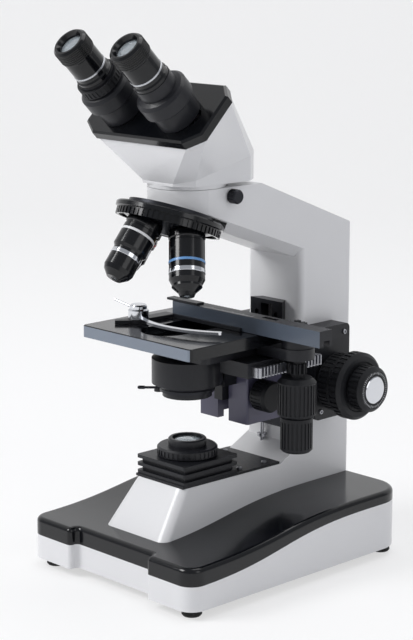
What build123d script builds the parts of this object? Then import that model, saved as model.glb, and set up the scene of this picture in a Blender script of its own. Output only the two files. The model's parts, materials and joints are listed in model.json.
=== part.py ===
from build123d import *
import os
from math import cos, pi, radians, sin, tan

# Research microscope: inclined binocular head, four objectives on a turret, a mechanical
# stage, a condenser and a built-in lamp, all carried by a cast arm on a wide base.
# Millimetres. +X is the user's right, +Y points away from the user, +Z is up.
# The origin is on the table, under the middle of the whole instrument. The pieces are drawn
# about the optical axis and moved to the middle when they are exported, because the cross bar
# reaches out to the right.

os.makedirs("parts", exist_ok=True)

MIDDLE_SHIFT = -12.5     # the optical axis's X in the exported frame

# Clearances
GAP = 0.3                # between pieces of different bodies
RUNNING = 0.06           # radial clearance of a shaft in its bore
SEAT = 0.02              # radial clearance of a knob or lens in its seat

# Base
BASE_WIDTH = 168
BASE_FRONT = -103
BASE_BACK = 114
FRONT_CORNER = 12
BACK_CORNER = 24
RECESS_WIDTH = 80
RECESS_DEPTH = 7
RECESS_FILLET = 3
FOOT_HEIGHT = 6.5
FOOT_RADIUS = 7
FOOT_INSET = 13
SHELL_WALL = 3
SEAM_FRONT = 24          # height of the white shell's upper edge at the front
SEAM_BACK = 41
TOP_FRONT = 36.5         # height of the black plate's top at the front
TOP_BACK = 49.5
SLOPE_BACK = 70          # Y where both slopes have become level
TOP_EDGE_FILLET = 3.5
COVER_THICKNESS = 2

# Lamp house
LAMP_TOP = 69
LAMP_FOOT = 30           # height at which its foot outline is given
LAMP_FRONT_TOP = -54.5
LAMP_FRONT_FOOT = -84
LAMP_HALF_TOP = 24.8
LAMP_HALF_FOOT = 32.5
LAMP_CORNER = 7
LAMP_WALL = 3
DECK_THICKNESS = 1.8
FIN_WIDTH = 50
FIN_LENGTH = 52
FIN_THICKNESS = 2.4
FIN_PITCH = 5.6
FIN_COUNT = 3
FIN_CORE_INSET = 3
COLLECTOR_RADIUS = 21.5
COLLECTOR_HEIGHT = 7
FIELD_RING_RADIUS = 13.5
FIELD_RING_HEIGHT = 5.5
FIELD_LENS_RADIUS = 10.5

# Arm
OPTIC_Y = -27            # the optical axis, X = 0
ARM_HALF = 27
ARM_FRONT = 60
ARM_FOOT_FRONT = 40
ARM_LEDGE = 79
ARM_UNDERSIDE = 218      # where the column's front meets the underside
ARM_SLOPE = 20
NOSE_RADIUS = 27.5
NOSE_TOP = 276
NOSE_TOP_BACK = 19
ARM_BACK_TOP = 238
ARM_EDGE = 4
UNDER_CHAMFER = 7
SOCKET_RADIUS = 20
SOCKET_DEPTH = 12
LIGHT_RADIUS = 9.5
POCKET_HALF = 10         # half width of the slot in the arm that holds the rack

# Focus drive
FOCUS_Y = 78
FOCUS_Z = 127.6
MODULE = 1.0             # of every rack and pinion
COARSE_TEETH = 12
HOUSING_OUT = 42
HOUSING_DEPTH = 36
HOUSING_BOTTOM = 100
HOUSING_TOP = 168
BOSS_RADIUS = 14
BOSS_OUT = 57
COARSE_RADIUS = 24.5
COARSE_IN = 58
COARSE_OUT = 70
FINE_RADIUS = 16.5
FINE_IN = 70.6
FINE_OUT = 83
CAP_RADIUS = 9.75
COARSE_SHAFT_RADIUS = 4.5
FINE_SHAFT_RADIUS = 2.8
TENSION_RADIUS = 21
RIB_COUNT = 36           # grip ribs of the large knobs

# Slideway and carriage
GUIDE_HALF = 16
GUIDE_FRONT = 52
GUIDE_BOTTOM = 92
GUIDE_TOP = 185
DOVETAIL_ANGLE = 60
CARRIAGE_HALF = 22
CARRIAGE_FRONT = 43
CARRIAGE_BOTTOM = 106
CARRIAGE_TOP = 160
RACK_HALF = 4

# Stage bracket and stage
BRACKET_HALF = 24.4
BRACKET_FRONT = 8.5
BRACKET_BOTTOM = 103.3
BRACKET_WALL = 6
STAGE_TOP = 176.8
STAGE_THICKNESS = 8.5
STAGE_HALF = 55.3
STAGE_FRONT = -76.3
STAGE_BACK = 32
LOWER_THICKNESS = 8.5
LOWER_HALF = 42
LOWER_FRONT = -50
LOWER_BACK = 40
STAGE_TRAVEL_Y = 20      # each way
SLOT_HALF = 17.5
COAX_X = 72
COAX_Y = 9
COAX_TEETH = 12
RAIL_BOTTOM = 149
RAIL_OUT = 59
PINION_HEIGHT = 7
Y_KNOB_RADIUS = 13.5
Y_KNOB_BOTTOM = 120
Y_KNOB_TOP = 147
X_KNOB_RADIUS = 11.3
X_KNOB_BOTTOM = 94.5
Y_SHAFT_RADIUS = 4.2
X_SHAFT_RADIUS = 2.5
BAR_LEFT = -31
BAR_RIGHT = 112
BAR_FRONT = -12
BAR_BACK = 1.8
BAR_HEIGHT = 11.2
HOLDER_THICKNESS = 2.4
POST_X = -34
POST_Y = -42
POST_RADIUS = 7.3
POST_HEIGHT = 10
CLIP_REACH = 74

# Condenser
CONDENSER_RADIUS = 25
CONDENSER_LOW_RADIUS = 21
CONDENSER_BOTTOM = 134
CONDENSER_STEP = 146
CONDENSER_SHOULDER = 155
CONDENSER_NECK = 14.5
CONDENSER_TOP = 167.8
CONDENSER_PINION_TEETH = 10
CONDENSER_KNOB_Y = 18
CONDENSER_KNOB_Z = 125
CONDENSER_KNOB_RADIUS = 11.3
CARRIER_FRONT = 3.5

# Nosepiece and objectives
TURRET_TILT = 20
APEX_Z = 300             # where the objectives' axes meet on the optical axis
TURRET_TOP = 44          # distances from the apex along the turret's axis
TURRET_RIM = 48.5
TURRET_KNURL = 53.5
TURRET_FACE = 57.5
TURRET_RADIUS = 38
MOUNT_TOP = 41
OBJECTIVE_SEAT = 60      # distance from the apex along an objective's axis
SEAT_FACE = 0.1          # the turret's conical face lies this far behind the seats
SKIRT_INSIDE = 34.4
CENTRE_RECESS = 9.4
THREAD_RADIUS = 10.16
THREAD_LENGTH = 4.5

# Binocular head
HEAD_CROSSING = 296      # height where the tubes' plane meets the optical axis
TUBE_TILT = 45
PLATE_DISTANCE = 45.7    # from the crossing to the plate's top, along the tubes
PLATE_THICKNESS = 7
PLATE_LOW = -21.5        # the plate's lower edge, measured up the slope
PLATE_HIGH = 29.5
PLATE_HALF = 57.5
PLATE_LOW_HALF = 44.5
PLATE_HIGH_HALF = 49
PLATE_CORNER = 9
HEAD_WALL = 3
COLLAR_RADIUS = 27.3
COLLAR_TOP = 279
EYE_HALF = 28            # half the distance between the eyepieces at rest
EYE_TRAVEL = 9.5
KEY_RADIUS = 8
TUBE_LENGTH = 68
TUBE_FLANGE_RADIUS = 18.5
TUBE_RADIUS = 13.4
EYEPIECE_RADIUS = 12.4
EYEPIECE_FIT = 11.6      # 23.2 mm eyepiece barrels

# Derived places
TO_MIDDLE = Location((MIDDLE_SHIFT, 0, 0))
STAGE_LOW = STAGE_TOP - STAGE_THICKNESS
LOWER_TOP = STAGE_LOW - GAP
LOWER_BOTTOM = LOWER_TOP - LOWER_THICKNESS
COARSE_PITCH = COARSE_TEETH * MODULE / 2
COAX_PITCH = COAX_TEETH * MODULE / 2
CONDENSER_PITCH = CONDENSER_PINION_TEETH * MODULE / 2
TOOTH_PITCH = pi * MODULE
TIP = 0.8 * MODULE       # tooth above the pitch line
ROOT = 1.25 * MODULE     # tooth below the pitch line
DECK_TOP = LAMP_TOP + DECK_THICKNESS
FIN_TOP = DECK_TOP + FIN_THICKNESS + (FIN_COUNT - 1) * FIN_PITCH
COLLECTOR_TOP = FIN_TOP + COLLECTOR_HEIGHT
FIELD_TOP = COLLECTOR_TOP + FIELD_RING_HEIGHT
BAR_BOTTOM = STAGE_TOP + GAP
BAR_TOP = BAR_BOTTOM + BAR_HEIGHT
HOLDER_TOP = BAR_BOTTOM + HOLDER_THICKNESS
HOUSING_FRONT = FOCUS_Y - HOUSING_DEPTH / 2
BASE_HALF = BASE_WIDTH / 2

tilt = radians(TURRET_TILT)
slope = radians(TUBE_TILT)
OPTIC = (0, OPTIC_Y, 0)
UP = (0, 0, 1)
APEX = (0, OPTIC_Y, APEX_Z)
TURRET_DIRECTION = (0, -sin(tilt), -cos(tilt))
TUBE_DIRECTION = (0, -sin(slope), cos(slope))
PLATE_Y = OPTIC_Y - PLATE_DISTANCE * sin(slope)
PLATE_Z = HEAD_CROSSING + PLATE_DISTANCE * cos(slope)
PLATE_PLANE = Plane(origin=(0, PLATE_Y, PLATE_Z), x_dir=(1, 0, 0), z_dir=TUBE_DIRECTION)


def profile_plane(origin, direction):
    """The sketch plane through an axis: local Y runs along it, local X away from it."""
    way = Vector(*direction).normalized()
    radial = Vector(1, 0.45, 0) if abs(way.X) < 0.5 else Vector(0, 1, 0)
    radial = (radial - way * radial.dot(way)).normalized()
    return Plane(origin=origin, x_dir=radial, z_dir=radial.cross(way))


def turned(origin, direction, outline, mode=Mode.ADD):
    """Adds a turned solid to the open part: (radius, height) points go round the axis."""
    with BuildSketch(profile_plane(origin, direction)) as section:
        with BuildLine():
            Polyline(*outline, close=True)
        make_face()
    revolve(section.sketch, axis=Axis(origin, direction), mode=mode)


def rod(origin, direction, radius, start, end, mode=Mode.ADD):
    """Adds or cuts a plain cylinder between two heights along an axis."""
    turned(origin, direction, [(0, start), (radius, start), (radius, end), (0, end)], mode)


def block(x_range, y_range, z_range, mode=Mode.ADD):
    """Adds or cuts a box given by its ranges."""
    middle = [(low + high) / 2 for low, high in (x_range, y_range, z_range)]
    size = [high - low for low, high in (x_range, y_range, z_range)]
    with Locations(tuple(middle)):
        Box(*size, mode=mode)


def side_prism(points, half_width, mode=Mode.ADD):
    """Adds or cuts a solid whose outline in the YZ plane reaches half_width each way in X."""
    with BuildSketch(Plane.YZ) as side:
        with BuildLine():
            Polyline(*points, close=True)
        make_face()
    extrude(side.sketch, amount=half_width, both=True, mode=mode)


def below_slope(front, back, mode):
    """Keeps or cuts what lies below the base's S-shaped slope between two heights."""
    span = SLOPE_BACK - BASE_FRONT
    with BuildSketch(Plane.YZ) as side:
        with BuildLine():
            Bezier((BASE_FRONT, front), (BASE_FRONT + 0.5 * span, front),
                   (SLOPE_BACK - 0.5 * span, back), (SLOPE_BACK, back))
            Polyline((SLOPE_BACK, back), (BASE_BACK, back), (BASE_BACK, 0), (BASE_FRONT, 0),
                     (BASE_FRONT, front))
        make_face()
    extrude(side.sketch, amount=BASE_HALF, both=True, mode=mode)


def base_plan():
    """The base seen from above: rounded corners and a shallow recess in the front."""
    middle = (BASE_FRONT + BASE_BACK) / 2
    with BuildSketch() as plan:
        with Locations((0, middle)):
            Rectangle(BASE_WIDTH, BASE_BACK - BASE_FRONT)
        with Locations((0, BASE_FRONT)):
            Rectangle(RECESS_WIDTH, 2 * RECESS_DEPTH, mode=Mode.SUBTRACT)
        outer = [v for v in plan.vertices() if abs(v.X) > RECESS_WIDTH / 2 + 1]
        fillet([v for v in outer if v.Y < middle], radius=FRONT_CORNER)
        outer = [v for v in plan.vertices() if v.Y > middle]
        fillet([v for v in outer if abs(v.Y - BASE_BACK) < 0.1], radius=BACK_CORNER)
        inner = [v for v in plan.vertices() if abs(abs(v.X) - RECESS_WIDTH / 2) < 0.1]
        fillet(inner, radius=RECESS_FILLET)
    return plan.sketch


def tooth(width, height):
    """A straight-sided gear tooth standing on the X axis, its root a little below it."""
    foot = 0.2 * MODULE
    return [(-width / 2, -foot), (width / 2, -foot), (width / 3.4, height), (-width / 3.4, height)]


def pinion_sketch(teeth):
    """A small spur gear in its own plane, one tooth pointing along local X."""
    pitch_radius = teeth * MODULE / 2
    with BuildSketch() as gear:
        Circle(pitch_radius - ROOT)
        with PolarLocations(pitch_radius - ROOT, teeth):
            with BuildLine(mode=Mode.PRIVATE) as edge:
                Polyline(*[(y, x) for x, y in tooth(0.5 * TOOTH_PITCH, ROOT + TIP)], close=True)
            add(make_face(edge.edges(), mode=Mode.PRIVATE))
    return gear.sketch


def rack_sketch(length, back):
    """A rack along local X, its pitch line on the axis and its teeth pointing along +Y."""
    count = round(length / TOOTH_PITCH)
    with BuildSketch() as rack:
        with Locations((0, -ROOT - back / 2)):
            Rectangle(length, back)
        with Locations((0, -ROOT)):
            with GridLocations(TOOTH_PITCH, 1, count, 1):
                with BuildLine(mode=Mode.PRIVATE) as edge:
                    Polyline(*tooth(0.5 * TOOTH_PITCH, ROOT + TIP), close=True)
                add(make_face(edge.edges(), mode=Mode.PRIVATE))
    return rack.sketch


def grip_ribs(origin, direction, radius, start, end, count, depth):
    """Cuts a ring of grooves into a knob's rim, which leaves the grip ribs."""
    way = Vector(*direction).normalized()
    foot = Vector(*origin) + way * start
    with BuildSketch(Plane(origin=foot, z_dir=way)) as grooves:
        with PolarLocations(radius, count):
            Rectangle(2 * depth, 0.45 * 2 * pi * radius / count)
    extrude(grooves.sketch, amount=end - start, mode=Mode.SUBTRACT)


# Base shell: the white lower casting, hollow, with an open floor
base_outline = base_plan()
with BuildPart() as base_room:
    with BuildSketch(Plane.XY):
        add(base_outline)
        offset(amount=-SHELL_WALL)
    extrude(amount=SEAM_BACK)
    below_slope(SEAM_FRONT - SHELL_WALL, SEAM_BACK - SHELL_WALL, Mode.INTERSECT)

DIMMER_X = -BASE_HALF + 8
DIMMER_Y = -40
DIMMER_Z = 17
DIMMER_RADIUS = 11
ROCKER_Y = 30
ROCKER_Z = 22
ROCKER_LENGTH = 19
ROCKER_HEIGHT = 13
ROCKER_PIN = 1
INLET_X = -30
INLET_Z = 24
with BuildPart() as base_shell:
    with BuildSketch(Plane.XY.offset(FOOT_HEIGHT)):
        add(base_outline)
    extrude(amount=SEAM_BACK)
    below_slope(SEAM_FRONT, SEAM_BACK, Mode.INTERSECT)
    add(base_room.part, mode=Mode.SUBTRACT)
    block((-20, 20), (-60, 36), (FOOT_HEIGHT, SEAM_BACK), Mode.SUBTRACT)
    block((-BASE_HALF - 1, -BASE_HALF + SHELL_WALL + 1), (DIMMER_Y - 10, DIMMER_Y + 10),
          (DIMMER_Z - 3, DIMMER_Z + 3), Mode.SUBTRACT)
    block((-BASE_HALF - 1, -BASE_HALF + SHELL_WALL + 1),
          (ROCKER_Y - ROCKER_LENGTH / 2 - 0.8, ROCKER_Y + ROCKER_LENGTH / 2 + 0.8),
          (ROCKER_Z - ROCKER_HEIGHT / 2 - 0.8, ROCKER_Z + ROCKER_HEIGHT / 2 + 0.8), Mode.SUBTRACT)
    block((INLET_X - 13.6, INLET_X + 13.6), (BASE_BACK - SHELL_WALL - 1, BASE_BACK + 1),
          (INLET_Z - 9.9, INLET_Z + 9.9), Mode.SUBTRACT)
    for low in (ROCKER_Z - ROCKER_HEIGHT / 2 - 2.4, ROCKER_Z + ROCKER_HEIGHT / 2 + 0.4):
        block((-BASE_HALF + SHELL_WALL - 1, -BASE_HALF + SHELL_WALL + 4), (ROCKER_Y - 4, ROCKER_Y + 4),
              (low, low + 2))
    rod((-BASE_HALF + 4.2, ROCKER_Y, ROCKER_Z), UP, ROCKER_PIN + RUNNING, -ROCKER_HEIGHT / 2 - 3,
        ROCKER_HEIGHT / 2 + 3, Mode.SUBTRACT)
base_shell.part.label = "base_shell"
export_step(base_shell.part.moved(TO_MIDDLE), "parts/base_shell.step")

# Base top plate: the black cover on the shell, open where the lamp house and arm rise
with BuildPart() as under_seam:
    with BuildSketch(Plane.XY):
        add(base_outline)
    extrude(amount=SEAM_BACK + 1)
    below_slope(SEAM_FRONT, SEAM_BACK, Mode.INTERSECT)


def lamp_plan(inset, lift):
    """The lamp house's outline at its foot (lift 0) or its top (lift 1), drawn in by inset."""
    front = LAMP_FRONT_FOOT + (LAMP_FRONT_TOP - LAMP_FRONT_FOOT) * lift + inset
    front_half = LAMP_HALF_FOOT + (LAMP_HALF_TOP - LAMP_HALF_FOOT) * lift - inset
    back_half = ARM_HALF + 1.5 * (1 - lift) - inset
    with BuildSketch(Plane.XY.offset(LAMP_FOOT + (LAMP_TOP - LAMP_FOOT) * lift)) as plan:
        with BuildLine():
            Polyline((-front_half, front), (front_half, front), (back_half, ARM_FOOT_FRONT),
                     (-back_half, ARM_FOOT_FRONT), close=True)
        make_face()
        fillet(plan.vertices().sort_by(Axis.Y)[:2], radius=LAMP_CORNER)
    return plan.sketch


with BuildPart() as lamp_form:
    loft([lamp_plan(0, -0.28).face(), lamp_plan(0, 1).face()])

with BuildPart() as base_top_plate:
    with BuildSketch(Plane.XY.offset(SEAM_FRONT - 1)):
        add(base_outline)
    extrude(amount=TOP_BACK)
    below_slope(TOP_FRONT, TOP_BACK, Mode.INTERSECT)
    add(under_seam.part, mode=Mode.SUBTRACT)
    crown = base_top_plate.faces().filter_by(lambda f: f.normal_at().Z > 0.7)
    fillet([e for e in crown.sort_by(Axis.Z)[-2:].edges() if abs(e.center().X) > 1
            or e.center().Y < BASE_FRONT + 20 or e.center().Y > BASE_BACK - 1],
           radius=TOP_EDGE_FILLET)
    add(lamp_form.part, mode=Mode.SUBTRACT)
    block((-ARM_HALF - 0.5, ARM_HALF + 0.5), (ARM_FOOT_FRONT - 1, BASE_BACK + 1),
          (SEAM_FRONT, TOP_BACK + 5), Mode.SUBTRACT)
base_top_plate.part.label = "base_top_plate"
export_step(base_top_plate.part.moved(TO_MIDDLE), "parts/base_top_plate.step")

# Bottom cover, its screws and the four rubber feet
foot_places = [(sx * (BASE_HALF - FOOT_INSET), y)
               for sx in (-1, 1) for y in (BASE_FRONT + FOOT_INSET, BASE_BACK - FOOT_INSET)]
screw_places = [(sx * 60, y) for sx in (-1, 1) for y in (-70, 8, 84)]
with BuildPart() as bottom_cover:
    with BuildSketch(Plane.XY.offset(FOOT_HEIGHT)):
        add(base_outline)
        offset(amount=-SHELL_WALL - 0.2)
    extrude(amount=COVER_THICKNESS)
    with Locations((0, 4, FOOT_HEIGHT)):
        with GridLocations(0, 9, 1, 5):
            Box(34, 3, 3 * COVER_THICKNESS, mode=Mode.SUBTRACT)
    for x, y in screw_places:
        rod((x, y, 0), UP, 1.8, 0, FOOT_HEIGHT + 2 * COVER_THICKNESS, Mode.SUBTRACT)
bottom_cover.part.label = "bottom_cover"
export_step(bottom_cover.part.moved(TO_MIDDLE), "parts/bottom_cover.step")

with BuildPart() as bottom_screws:
    for x, y in screw_places:
        turned((x, y, 0), UP, [(0, FOOT_HEIGHT - 2), (2, FOOT_HEIGHT - 2), (3.2, FOOT_HEIGHT - 1.2),
                               (3.2, FOOT_HEIGHT), (1.6, FOOT_HEIGHT), (1.6, FOOT_HEIGHT + 5),
                               (0, FOOT_HEIGHT + 5)])
bottom_screws.part.label = "bottom_screws"
export_step(bottom_screws.part.moved(TO_MIDDLE), "parts/bottom_screws.step")

with BuildPart() as feet:
    for x, y in foot_places:
        turned((x, y, 0), UP, [(0, 1), (2.5, 1), (3.5, 0), (FOOT_RADIUS - 1, 0), (FOOT_RADIUS, 1.2),
                               (FOOT_RADIUS - 0.6, FOOT_HEIGHT), (0, FOOT_HEIGHT)])
feet.part.label = "feet"
export_step(feet.part.moved(TO_MIDDLE), "parts/feet.step")

# Lamp house: the tapered white casting over the lamp, hollow, open below and on top
with BuildPart() as lamp_house:
    add(lamp_form.part)
    loft([lamp_plan(LAMP_WALL, -0.4).face(), lamp_plan(LAMP_WALL, 1.02).face()],
         mode=Mode.SUBTRACT)
    add(under_seam.part, mode=Mode.SUBTRACT)
    block((-ARM_HALF + LAMP_WALL, ARM_HALF - LAMP_WALL),
          (ARM_FOOT_FRONT - LAMP_WALL, ARM_FOOT_FRONT), (SEAM_BACK, LAMP_TOP))
lamp_house.part.label = "lamp_house"
export_step(lamp_house.part.moved(TO_MIDDLE), "parts/lamp_house.step")

# Lamp deck: the black lid of the lamp house, with the hole for the light
with BuildPart() as lamp_deck:
    with BuildSketch(Plane.XY.offset(LAMP_TOP)):
        with BuildLine():
            Polyline((-LAMP_HALF_TOP + 0.4, LAMP_FRONT_TOP + 0.4),
                     (LAMP_HALF_TOP - 0.4, LAMP_FRONT_TOP + 0.4),
                     (ARM_HALF - 0.4, ARM_FOOT_FRONT - 0.4),
                     (-ARM_HALF + 0.4, ARM_FOOT_FRONT - 0.4), close=True)
        make_face()
    extrude(amount=DECK_THICKNESS)
    rod(OPTIC, UP, FIELD_LENS_RADIUS - 2, LAMP_TOP - 1, DECK_TOP + 1, Mode.SUBTRACT)
lamp_deck.part.label = "lamp_deck"
export_step(lamp_deck.part.moved(TO_MIDDLE), "parts/lamp_deck.step")

# Cooling fins round the collector
with BuildPart() as heat_fins:
    block((-FIN_WIDTH / 2 + FIN_CORE_INSET, FIN_WIDTH / 2 - FIN_CORE_INSET),
          (OPTIC_Y - FIN_LENGTH / 2 + FIN_CORE_INSET, OPTIC_Y + FIN_LENGTH / 2 - FIN_CORE_INSET),
          (DECK_TOP, FIN_TOP))
    for level in range(FIN_COUNT):
        z = DECK_TOP + level * FIN_PITCH
        with BuildSketch(Plane.XY.offset(z)):
            with Locations((0, OPTIC_Y)):
                RectangleRounded(FIN_WIDTH, FIN_LENGTH, 2)
        extrude(amount=FIN_THICKNESS)
    rod(OPTIC, UP, FIELD_LENS_RADIUS - 2, DECK_TOP - 1, FIN_TOP + 1, Mode.SUBTRACT)
heat_fins.part.label = "heat_fins"
export_step(heat_fins.part.moved(TO_MIDDLE), "parts/heat_fins.step")

# Collector housing with the field ring on it
with BuildPart() as collector_housing:
    turned(OPTIC, UP, [(FIELD_LENS_RADIUS - 2, FIN_TOP), (COLLECTOR_RADIUS - 0.8, FIN_TOP),
                       (COLLECTOR_RADIUS, FIN_TOP + 1), (COLLECTOR_RADIUS, COLLECTOR_TOP - 1),
                       (COLLECTOR_RADIUS - 1, COLLECTOR_TOP), (FIELD_RING_RADIUS, COLLECTOR_TOP),
                       (FIELD_RING_RADIUS, FIELD_TOP - 0.8), (FIELD_RING_RADIUS - 0.8, FIELD_TOP),
                       (FIELD_LENS_RADIUS + 0.3, FIELD_TOP), (FIELD_LENS_RADIUS + 0.3, FIELD_TOP - 3.5),
                       (FIELD_LENS_RADIUS - 2, FIELD_TOP - 3.5)])
    grip_ribs(OPTIC, UP, COLLECTOR_RADIUS, FIN_TOP + 1.6, COLLECTOR_TOP - 1.6, RIB_COUNT, 0.6)
collector_housing.part.label = "collector_housing"
export_step(collector_housing.part.moved(TO_MIDDLE), "parts/collector_housing.step")

with BuildPart() as collector_lens:
    turned(OPTIC, UP, [(0, FIELD_TOP - 3.5), (FIELD_LENS_RADIUS, FIELD_TOP - 3.5),
                       (FIELD_LENS_RADIUS, FIELD_TOP - 2.2), (FIELD_LENS_RADIUS - 3, FIELD_TOP - 1.3),
                       (FIELD_LENS_RADIUS - 7, FIELD_TOP - 0.8), (0, FIELD_TOP - 0.7)])
collector_lens.part.label = "collector_lens"
export_step(collector_lens.part.moved(TO_MIDDLE), "parts/collector_lens.step")

# Lamp in its holder, hanging from the deck on a bracket
with BuildPart() as lamp_bulb:
    turned(OPTIC, UP, [(0, 42), (5.5, 42), (5.5, 47), (2.2, 49), (5.2, 54), (5.6, 57),
                       (4.2, 61), (0, 62.4)])
    turned(OPTIC, UP, [(5.5, 42), (12, 42), (12, LAMP_TOP), (10, LAMP_TOP), (10, 44), (5.5, 44)])
lamp_bulb.part.label = "lamp_bulb"
export_step(lamp_bulb.part.moved(TO_MIDDLE), "parts/lamp_bulb.step")

# Transformer on the bottom cover
TRANSFORMER_Y = 52
with BuildPart() as transformer:
    core_low = FOOT_HEIGHT + COVER_THICKNESS
    block((-52, 4), (TRANSFORMER_Y - 22, TRANSFORMER_Y + 22), (core_low, core_low + 20))
    fillet(transformer.edges().filter_by(Axis.Z), radius=2)
    block((-38, -10), (TRANSFORMER_Y - 27, TRANSFORMER_Y + 27), (core_low + 2, core_low + 18))
    block((4, 40), (TRANSFORMER_Y - 20, TRANSFORMER_Y + 20), (core_low, core_low + 3))
transformer.part.label = "transformer"
export_step(transformer.part.moved(TO_MIDDLE), "parts/transformer.step")

# Mains inlet with its fuse drawer, in the back wall
with BuildPart() as power_inlet:
    block((INLET_X - 13.5, INLET_X + 13.5), (BASE_BACK - 20, BASE_BACK - SHELL_WALL),
          (INLET_Z - 9.8, INLET_Z + 9.8))
    with BuildSketch(Plane(origin=(INLET_X, BASE_BACK - SHELL_WALL, INLET_Z), x_dir=(1, 0, 0),
                           z_dir=(0, 1, 0))):
        RectangleRounded(27, 19.6, 2)
    extrude(amount=SHELL_WALL + 0.4)
    with BuildSketch(Plane(origin=(INLET_X, BASE_BACK + 0.4, INLET_Z), x_dir=(1, 0, 0),
                           z_dir=(0, 1, 0))) as mouth:
        Rectangle(20, 13)
        chamfer(mouth.vertices().sort_by(Axis.Y)[:2], length=3.5)
    extrude(amount=-15, mode=Mode.SUBTRACT)
    for dx, dz in ((-5.5, -1.5), (0, 2), (5.5, -1.5)):
        block((INLET_X + dx - 1, INLET_X + dx + 1), (BASE_BACK - 16, BASE_BACK - 3),
              (INLET_Z + dz - 2, INLET_Z + dz + 2))
power_inlet.part.label = "power_inlet"
export_step(power_inlet.part.moved(TO_MIDDLE), "parts/power_inlet.step")

# Rocker switch, tipped to its off side, and the dimmer's thumb wheel, in the left wall
with BuildPart() as rocker_switch:
    face_x = -BASE_HALF - 0.4
    with BuildSketch(Plane.XY.offset(ROCKER_Z - ROCKER_HEIGHT / 2 + 0.4)):
        with BuildLine():
            Polyline((face_x + 7, ROCKER_Y - ROCKER_LENGTH / 2 + 2.5),
                     (face_x - 1.6, ROCKER_Y - ROCKER_LENGTH / 2 + 0.4),
                     (face_x + 0.2, ROCKER_Y),
                     (face_x + 1.4, ROCKER_Y + ROCKER_LENGTH / 2 - 0.6),
                     (face_x + 7, ROCKER_Y + ROCKER_LENGTH / 2 - 2.5), close=True)
        make_face()
    extrude(amount=ROCKER_HEIGHT - 0.8)
    rod((face_x + 4.6, ROCKER_Y, ROCKER_Z), UP, ROCKER_PIN, -ROCKER_HEIGHT / 2 - 2.5, ROCKER_HEIGHT / 2 + 2.5)
rocker_switch.part.label = "rocker_switch"
export_step(rocker_switch.part.moved(TO_MIDDLE), "parts/rocker_switch.step")

with BuildPart() as dimmer_wheel:
    wheel_place = (DIMMER_X, DIMMER_Y, DIMMER_Z)
    turned(wheel_place, UP, [(1.5, -2.2), (DIMMER_RADIUS - 0.5, -2.2), (DIMMER_RADIUS, -1.7),
                             (DIMMER_RADIUS, 1.7), (DIMMER_RADIUS - 0.5, 2.2), (1.5, 2.2)])
    rod(wheel_place, UP, 2, -DIMMER_Z + FOOT_HEIGHT + COVER_THICKNESS + GAP, 3)
    grip_ribs(wheel_place, UP, DIMMER_RADIUS, -2.2, 2.2, 30, 0.5)
dimmer_wheel.part.label = "dimmer_wheel"
export_step(dimmer_wheel.part.moved(TO_MIDDLE), "parts/dimmer_wheel.step")

# Arm: foot, column, sloping top and round nose in one casting
under = tan(radians(ARM_SLOPE))
nose_tip = OPTIC_Y - NOSE_RADIUS - 2
with BuildPart() as arm:
    with BuildSketch(Plane.YZ) as arm_side:
        with BuildLine():
            Polyline((ARM_FOOT_FRONT, 20), (ARM_FOOT_FRONT, LAMP_TOP), (ARM_FRONT, ARM_LEDGE),
                     (ARM_FRONT, ARM_UNDERSIDE),
                     (nose_tip, ARM_UNDERSIDE + (ARM_FRONT - nose_tip) * under),
                     (nose_tip, NOSE_TOP), (NOSE_TOP_BACK, NOSE_TOP), (BASE_BACK, ARM_BACK_TOP),
                     (BASE_BACK, 20), close=True)
        make_face()
        fillet([v for v in arm_side.vertices() if v.X > BASE_BACK - 1 and v.Y > 100], radius=6)
    extrude(amount=ARM_HALF, both=True)
    with BuildSketch(Plane.XY.offset(10)) as arm_plan:
        with Locations((0, OPTIC_Y)):
            Circle(NOSE_RADIUS)
        with Locations((0, (OPTIC_Y + BASE_BACK) / 2)):
            Rectangle(2 * ARM_HALF, BASE_BACK - OPTIC_Y)
        fillet([v for v in arm_plan.vertices() if v.Y > BASE_BACK - 1], radius=ARM_EDGE)
    extrude(amount=NOSE_TOP, mode=Mode.INTERSECT)
    long_edges = arm.edges().filter_by(lambda e: e.length > 60)
    lower_edges = [e for e in long_edges if abs(abs(e.center().X) - ARM_HALF) < 0.2
                   and e.center().Y < ARM_FRONT - 5 and e.center().Z < 255]
    chamfer(lower_edges, length=UNDER_CHAMFER)
    front_edges = [e for e in arm.edges().filter_by(Axis.Z)
                   if abs(e.center().Y - ARM_FRONT) < 0.5 and abs(abs(e.center().X) - ARM_HALF) < 0.5]
    fillet(front_edges, radius=ARM_EDGE)
    add(under_seam.part, mode=Mode.SUBTRACT)
    rod(OPTIC, UP, SOCKET_RADIUS, NOSE_TOP - SOCKET_DEPTH, NOSE_TOP + 1, Mode.SUBTRACT)
    rod(OPTIC, UP, LIGHT_RADIUS, 240, NOSE_TOP, Mode.SUBTRACT)
    rod(APEX, TURRET_DIRECTION, TURRET_RADIUS + 1, MOUNT_TOP, TURRET_FACE + 20, Mode.SUBTRACT)
    block((-POCKET_HALF, POCKET_HALF), (ARM_FRONT - 1, FOCUS_Y + COARSE_PITCH + 4),
          (GUIDE_BOTTOM - 1, GUIDE_TOP - 3), Mode.SUBTRACT)
    rod((0, FOCUS_Y, FOCUS_Z), (1, 0, 0), COARSE_SHAFT_RADIUS + RUNNING, -ARM_HALF - 1,
        ARM_HALF + 1, Mode.SUBTRACT)
    rod((-8, ARM_FRONT - 3.5, 0), UP, 1.4 + SEAT, ARM_LEDGE - 6, ARM_LEDGE + 5, Mode.SUBTRACT)
    rod((0, OPTIC_Y + 16, NOSE_TOP - 6), (1, 0, 0), 2 + RUNNING, SOCKET_RADIUS - 8, ARM_HALF + 1,
        Mode.SUBTRACT)
arm.part.label = "arm"
export_step(arm.part.moved(TO_MIDDLE), "parts/arm.step")

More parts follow.
